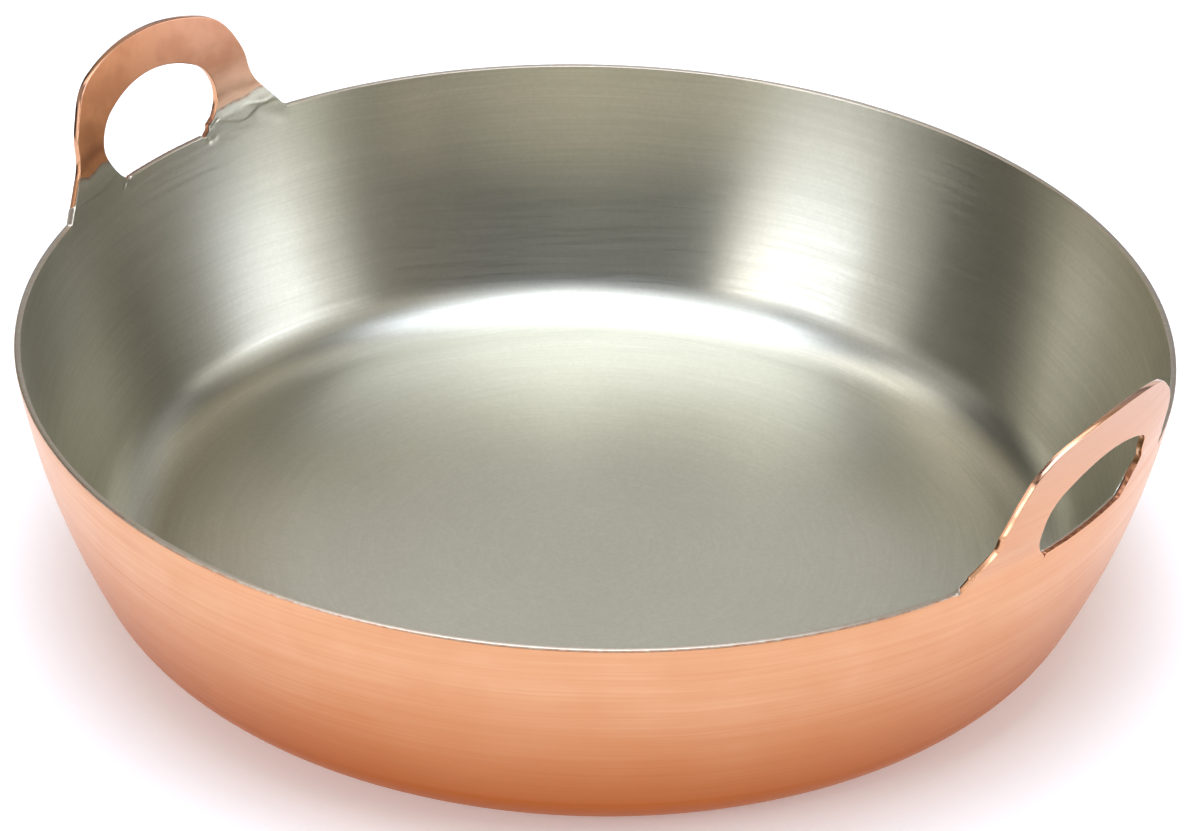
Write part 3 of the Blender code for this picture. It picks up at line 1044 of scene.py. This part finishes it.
def bumps(tree, *layers):
    """Bumps on top of one another, the broadest first, each a height and its depth in metres."""
    normal = None
    for height, depth in layers:
        given = {"Strength": 1.0, "Distance": depth, "Height": height}
        normal = put(tree, "Bump", given if normal is None else {**given, "Normal": normal})
    return normal


def brushed_metal(tree, colour, rough, bump, anisotropic):
    """A metal whose fine lines run round the axis, so that it blurs more across them."""
    tangent = put(tree, "Tangent", direction_type="RADIAL", axis="Z")
    return put(tree, "BsdfPrincipled", {
        "Base Color": colour, "Metallic": 1.0, "Roughness": rough, "Anisotropic": anisotropic,
        "Anisotropic Rotation": 0.25, "Tangent": tangent, "Normal": bump,
    })


def new_material(name, *marks):
    """An empty material, its tree, and the marks of the mesh's points that it reads."""
    material = bpy.data.materials.new(name)
    material.use_nodes = True
    tree = material.node_tree
    tree.nodes.clear()
    read = [put(tree, "Attribute", take="Fac", attribute_name=mark) for mark in marks]
    return material, tree, *read


print("materials so far", len(bpy.data.materials))

# %% [markdown]
# ## Spun copper, satin finish
#
# The outside is bare copper, spun on a lathe and finished with fine abrasive. That gives a
# soft salmon sheen with hair lines round the pot, and highlights drawn out up and down the
# wall, across the lines. Anisotropy gives that stretch. Near the floor a deeper orange is
# painted in as shade, for the shadowed floor that the low wall mirrors.

# %% Make the copper
# The deep tone is copper's own in its clouds and lines, and painted shade low on the wall.
# The sawn tone is partly the rough copper's own and partly painted shade on the slot's floor.
copper_tint, deep_copper_and_shade, copper_pale, sawn_and_shade_tone = "#E4B38D", "#C5702E", "#CE9D80", "#7A4230"
copper_hair = (90 * mm, 1.2 * mm, 2.0)  # length, width and seed
copper_satin = (0.29, 0.38)
hair_depth = 0.003 * mm


def copper_tone(tree, hair, rise, sawn):
    """The colour of bare copper: deeper near the floor as painted shade, paler up on the handles.
    """
    return coats(
        tree, copper_tint,
        # painted shade: a deeper orange low on the wall, where it mirrors the shadowed floor
        (deep_copper_and_shade, (rise, 1.0, 0.0, 0.10, 0.76)),
        (deep_copper_and_shade, (clouds(tree, 35 * mm, 1.0), 0.0, 0.30)),
        (deep_copper_and_shade, (round_lines(tree, 160 * mm, 7 * mm, 1.0), 0.0, 0.25)),
        (deep_copper_and_shade, (hair, 0.0, 0.22)),
        (copper_pale, (rise, 0.0, 1.0, 1.0, 1.45)),
        # painted shade over the sawn copper's own darker tone, on the slot's floor
        (sawn_and_shade_tone, sawn, (clouds(tree, 1.5 * mm, 4.0), 0.3, 1.0)),
    )


def satin_copper(name):
    """Copper under fine abrasive: hair lines round the pot give a soft, drawn out sheen."""
    material, tree, rise, sawn = new_material(name, "rise", "sawn")
    hair = round_lines(tree, *copper_hair)
    colour = copper_tone(tree, hair, rise, sawn)
    rough = strength(tree, (hair, *copper_satin))
    metal = brushed_metal(tree, colour, rough, bumps(tree, (hair, hair_depth)), 0.6)
    put(tree, "OutputMaterial", {0: metal})
    return material


spun_copper = satin_copper("spun_satin_copper")
print(spun_copper.name, len(spun_copper.node_tree.nodes), "nodes")

# %% [markdown]
# ## Handle copper
#
# A handle is cut from thicker sheet and polished where the hand goes. Its edges are burnished,
# so they mirror sharply and show as bright and brown strips. Its inner face keeps the orange
# brown tones of the brazing heat, with a dark band a little above the tin, and low on its
# cooler end a rosy, paler painted reflection. Each tone is one thin coat over the last, masked
# by a mark of the mesh or by clouds, as heat colours come.

# %% Make the handle's copper
burnished, sawn_rough = 0.17, 0.5
band_waves, band_slope = 0.05, -0.045


def as_rise(height):
    """A height above the rim as the pattern's mark "rise" counts it."""
    return (bowl_height + height) / bowl_height


def handle_copper(name):
    """The bowl's copper with heat tones and a painted reflection inside, burnished edges, a rough
    slot floor.
    """
    marks = ("rise", "sawn", "inner", "edge", "warm")
    material, tree, rise, sawn, inner, edge, warm = new_material(name, *marks)
    hair = round_lines(tree, *copper_hair)
    wavy = put(tree, "Math", {0: clouds(tree, 8 * mm, 7.0), 1: band_waves, 2: rise},
               operation="MULTIPLY_ADD")
    place = put(tree, "Math", {0: warm, 1: band_slope, 2: wavy}, operation="MULTIPLY_ADD")
    heat_and_reflection_tones = coats(
        tree, "#DCA58A",
        # orange where it got hottest, brown blushes, a rosy, paler painted reflection low on the
        # cool end, and the dark band
        ("#EBA272", warm),
        ("#B8714F", (clouds(tree, 9 * mm, 5.0), 0.0, 0.3, 0.4, 0.65)),
        # painted reflection: rosy and paler low on the cooler end of the handle
        ("#FFD2B4", (rise, 1.0, 0.0, as_rise(13 * mm), as_rise(24 * mm)),
         (warm, 1.0, 0.0, 0.15, 0.6)),
        ("#96573E", (place, 0.0, 1.0, as_rise(11.5 * mm), as_rise(14 * mm)),
         (place, 1.0, 0.0, as_rise(15 * mm), as_rise(19 * mm)),
         (clouds(tree, 14 * mm, 8.0), 0.15, 0.65)),
    )
    colour = coats(tree, copper_tone(tree, hair, rise, sawn), (heat_and_reflection_tones, inner))
    rough = strength(tree, (hair, *copper_satin))
    for mark, value in ((edge, burnished), (sawn, sawn_rough)):
        rough = put(tree, "Mix", {0: mark, 2: rough, 3: value})
    bump = bumps(tree, (clouds(tree, 14 * mm, 3.0, 1.0), 0.05 * mm), (hair, hair_depth))
    put(tree, "OutputMaterial", {0: brushed_metal(tree, colour, rough, bump, 0.3)})
    return material


polished_copper = handle_copper("polished_handle_copper")
print(polished_copper.name, len(polished_copper.node_tree.nodes), "nodes")

# %% [markdown]
# ## Wiped tin
#
# Pure tin is a soft white metal with a faint straw tone. Wiped by hand it keeps long soft
# streaks round the wall and a fine grain on the floor, where the rag moved every way. Scoured
# clean, it is a satin grey that blurs whatever it mirrors. One shader is stretched by the
# streaks and one isn't, and they blend from the floor to the wall.

# %% Make the tin
floor_calm = 50 * mm
tin_satin = (0.28, 0.33)  # any lower, and a renderer's denoiser draws dark scratches in it


def wiped_tin(name):
    """Satin tin: streaks round the wall, an even floor, and copper showing where it is thin, partly
    painted shade on the lip.
    """
    material, tree, rise, thin = new_material(name, "rise", "thin")
    reach = from_axis(tree)[1]
    share = strength(tree, (reach, 0.0, 1.0, floor_radius - floor_calm, floor_radius))
    calm = strength(tree, (share, 0.2, 1.0, 0.0, 1.0))
    broad = round_lines(tree, 120 * mm, 5 * mm, 3.0, sway=9 * mm)
    hair = round_lines(tree, 45 * mm, 1.1 * mm, 4.0, 1.0, 9 * mm)
    colour = coats(
        tree, "#D3CFC0",
        # slow changes, broad streaks, the floor's grain, hair lines and bare copper, which on the
        # rim's lip is partly painted shade
        ("#CDC9B9", (clouds(tree, 60 * mm, 8.0), 0.0, 1.0)),
        ("#BAB7A7", (broad, 0.0, 0.4), calm),
        ("#B9B5A4", (clouds(tree, 1.3 * mm, 11.0), 0.0, 0.45)),
        ("#B9B5A4", (hair, 0.0, 1.0), (share, 0.25, 0.5, 0.0, 1.0)),
        ("#B07A5E", thin, (clouds(tree, 2 * mm, 9.0), 0.2, 1.0)),
    )
    dabs = strength(tree, (rise, 0.0, 1.0, 0.90, 1.02), clouds(tree, 5 * mm, 2.0))
    bump = bumps(tree, (dabs, 0.08 * mm), (strength(tree, broad, calm), 0.012 * mm),
                 (hair, 0.0015 * mm))
    rough = strength(tree, (hair, *tin_satin))
    middle, wall = (brushed_metal(tree, colour, rough, bump, stretch) for stretch in (0.0, 0.75))
    put(tree, "OutputMaterial", {0: put(tree, "MixShader", {0: share, 1: middle, 2: wall})})
    return material


tin = wiped_tin("hot_wiped_tin")
print(tin.name, len(tin.node_tree.nodes), "nodes")

# %% [markdown]
# ## Roll the copper and cut the handles off at the joint
#
# The pattern is rolled once and cut level at the joint. Below it is the bowl with its four
# stubs, above it stand two handles. Each cut is closed with a flat cap, as a smith leaves it.

# %% Cut at the joint
same_place = 1e-6


def cut_piece(mesh, name, above, side=None):
    """A copy of the rolled copper below or above the joint, on one side, with closed cuts."""
    work = bmesh.new()
    work.from_mesh(mesh)
    everything = work.verts[:] + work.edges[:] + work.faces[:]
    bmesh.ops.bisect_plane(
        work, geom=everything, dist=same_place, plane_co=(0, 0, joint_level),
        plane_no=(0, 0, 1), clear_outer=not above, clear_inner=above,
    )
    if side is not None:
        bmesh.ops.delete(work, geom=[v for v in work.verts if v.co.x * side < 0], context="VERTS")
    open_edges = [edge for edge in work.edges if edge.is_boundary]
    caps = bmesh.ops.holes_fill(work, edges=open_edges, sides=0)["faces"]
    for face in caps:
        face.smooth = False
        for edge in face.edges:
            edge.smooth = False
    bmesh.ops.recalc_face_normals(work, faces=work.faces)
    piece_mesh = bpy.data.meshes.new(name)
    work.to_mesh(piece_mesh)
    work.free()
    piece_mesh.materials.append(polished_copper if above else spun_copper)
    return place_piece(piece_mesh, name), len(caps)


def place_piece(mesh, name):
    """A finished piece: its object sits at the origin, and it rides on the pot's one body."""
    piece = stand(name, mesh)
    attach(piece, "root")
    return piece


hammered = {"Wave_Height": 0.10 * mm, "Wave_Length": 70 * mm, "Seed": 3.0}
copper_mesh = rolled_mesh(copper, "copper_sheet", spun_copper, Saw_Depth=0.5 * mm,
                          Saw_Pitch=0.9 * mm, **hammered)
bowl, bowl_caps = cut_piece(copper_mesh, "raised_bowl", False)
right_handle, right_caps = cut_piece(copper_mesh, "brazed_handle_right", True, 1)
left_handle, left_caps = cut_piece(copper_mesh, "brazed_handle_left", True, -1)
print("caps", bowl_caps, right_caps, left_caps, "bowl faces", len(bowl.data.polygons))

# %% Roll the tin and count the triangles
# The tin follows the hammered copper, so its waves and seed are the same.
tin_mesh = rolled_mesh(lining, "wiped_tin_lining", tin, Saw_Depth=0.0, Saw_Pitch=1 * mm,
                       **hammered)
tin_lining = place_piece(tin_mesh, "wiped_tin_lining")
for piece in (bowl, right_handle, left_handle, tin_lining):
    piece.data.calc_loop_triangles()
    print(piece.name, len(piece.data.loop_triangles), "triangles")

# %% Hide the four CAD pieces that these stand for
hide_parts("copper_bowl")
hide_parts("handle_right")
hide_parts("handle_left")
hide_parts("tin_lining")
print("four pieces stand for", len(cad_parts), "CAD pieces")

# %% [markdown]
# ## Floor, light and camera
#
# The pot stands on a white table that glows a little, which keeps its shadow pale. A dome
# of sky would light it too, but polished metal shows what stands round it, so each soft box
# is placed where one surface mirrors it: the dark gaps between them shape the metal.

# %% Floor
table_half_width = 6.0
table_glow = 0.23
speck_size = 4 * mm
floor_mesh = bpy.data.meshes.new("pale_floor")
work = bmesh.new()
bmesh.ops.create_grid(work, x_segments=4, y_segments=4, size=table_half_width)
work.to_mesh(floor_mesh)
work.free()
pale_floor = stand("pale_floor", floor_mesh)
# Matt board, so nothing is mirrored in it, with specks too faint to see one by one.
matt, matt_tree = new_material("lit_matt_table")
here = put(matt_tree, "TexCoord", take="Object")
specks = put(matt_tree, "TexNoise", {"Vector": here, "Scale": 1 / speck_size})
paper = put(matt_tree, "BsdfPrincipled", {
    "Base Color": coats(matt_tree, "#FBFBFA", ("#F8F8F7", specks)), "Roughness": 0.9,
    "Emission Color": "#FFFFFF", "Emission Strength": table_glow,
})
put(matt_tree, "OutputMaterial", {0: paper})
floor_mesh.materials.append(matt)
print("table", 2 * table_half_width, "m wide")

# %% Light
box_distance = 2.4
aim = Vector((0, 0, bowl_height))
cool, clear, plain, warm = "#DCE8FF", "#EEF3FF", "#FBFCFF", "#FFF4D8"
soft_boxes = {
    # name: azimuth and elevation of the middle, apparent width and height, all in degrees,
    # brightness and colour
    "overhead": (0, 90, 44, 44, 4.3, cool),
    "overhead_left": (216, 84, 40, 42, 1.0, cool),
    "overhead_front": (306, 66, 60, 26, 0.8, plain),
    "right_box": (30, 15, 50, 30, 1.57, plain),
    "right_core": (27, 15, 24, 17, 3.0, cool),
    "right_heart": (24, 14, 16, 14, 1.5, cool),
    "right_top": (28, 34, 36, 14, 0.6, cool),
    "right_back": (25, 44, 50, 20, 0.5, warm),
    "left_box": (251, 18, 42, 36, 1.3, plain),
    "left_core": (256, 19, 21, 22, 3.3, cool),
    "left_high": (270, 25, 10, 14, 4.0, plain),
    "far_strip": (176, 4, 42, 9, 2.7, warm),
    "front_strip": (313, 3, 80, 8, 2.5, warm),
    "back_strip": (95, 5, 80, 10, 1.2, plain),
    "back_panel": (105, 26, 80, 22, 0.50, clear),
    "back_left": (135, 30, 30, 20, 0.17, plain),
    "back_high": (118, 50, 60, 30, 0.40, warm),
    "back_top": (122, 60, 30, 24, 0.5, plain),
    "edge_light": (152, 57, 44, 12, 2.0, plain),
    "edge_fill": (218, 38, 40, 34, 0.50, plain),
}


def towards(azimuth, elevation):
    """The way to a place in the pot's sky, from degrees round from +X and degrees up."""
    turn, lift = math.radians(azimuth), math.radians(elevation)
    flat = math.cos(lift)
    return Vector((math.cos(turn) * flat, math.sin(turn) * flat, math.sin(lift)))


def soft_box(name, azimuth, elevation, wide, high, brightness, colour):
    """A soft box aimed at the pot, given by where it stands in the pot's sky."""
    way = towards(azimuth, elevation)
    lamp = bpy.data.lights.new(name, "AREA")
    lamp.shape = "RECTANGLE"
    lamp.size = 2 * box_distance * math.tan(math.radians(wide) / 2)
    lamp.size_y = 2 * box_distance * math.tan(math.radians(high) / 2)
    lamp.energy = brightness * math.pi * lamp.size * lamp.size_y
    lamp.color = linear(colour)[:3]
    holder = stand(name, lamp)
    holder.location = aim + way * box_distance
    holder.rotation_euler = way.to_track_quat("Z", "Y").to_euler()


room_light = 0.02
world = bpy.data.worlds.new("studio")
world.use_nodes = True
world.node_tree.nodes["Background"].inputs[0].default_value = linear("#F4F3F1")
world.node_tree.nodes["Background"].inputs[1].default_value = room_light
bpy.context.scene.world = world
for title, place in soft_boxes.items():
    soft_box(title, *place)
print(len(soft_boxes), "soft boxes,", box_distance, "m away")

# %% Camera
# Where the picture was taken from, as fitted to the round rim and the lower outline.
camera_azimuth, camera_elevation = -53.8, 30.13
camera_distance = 1.8
camera_roll = math.radians(1.59)
focal_pixels, shift_pixels = 5287, -85.9
image_width = 1192
sensor_width = 36.0
lens = bpy.data.cameras.new("studio_camera")
lens.sensor_width = sensor_width
lens.lens = focal_pixels / image_width * sensor_width
lens.shift_y = shift_pixels / image_width
eye = stand("studio_camera", lens)
back = towards(camera_azimuth, camera_elevation)
eye.location = aim + back * camera_distance
turned = back.to_track_quat("Z", "Y").to_matrix().to_4x4()
eye.rotation_euler = (turned @ Matrix.Rotation(camera_roll, 4, "Z")).to_euler()
bpy.context.scene.camera = eye
bpy.context.scene.view_settings.view_transform = "Standard"
print("lens", round(lens.lens, 1), "mm")
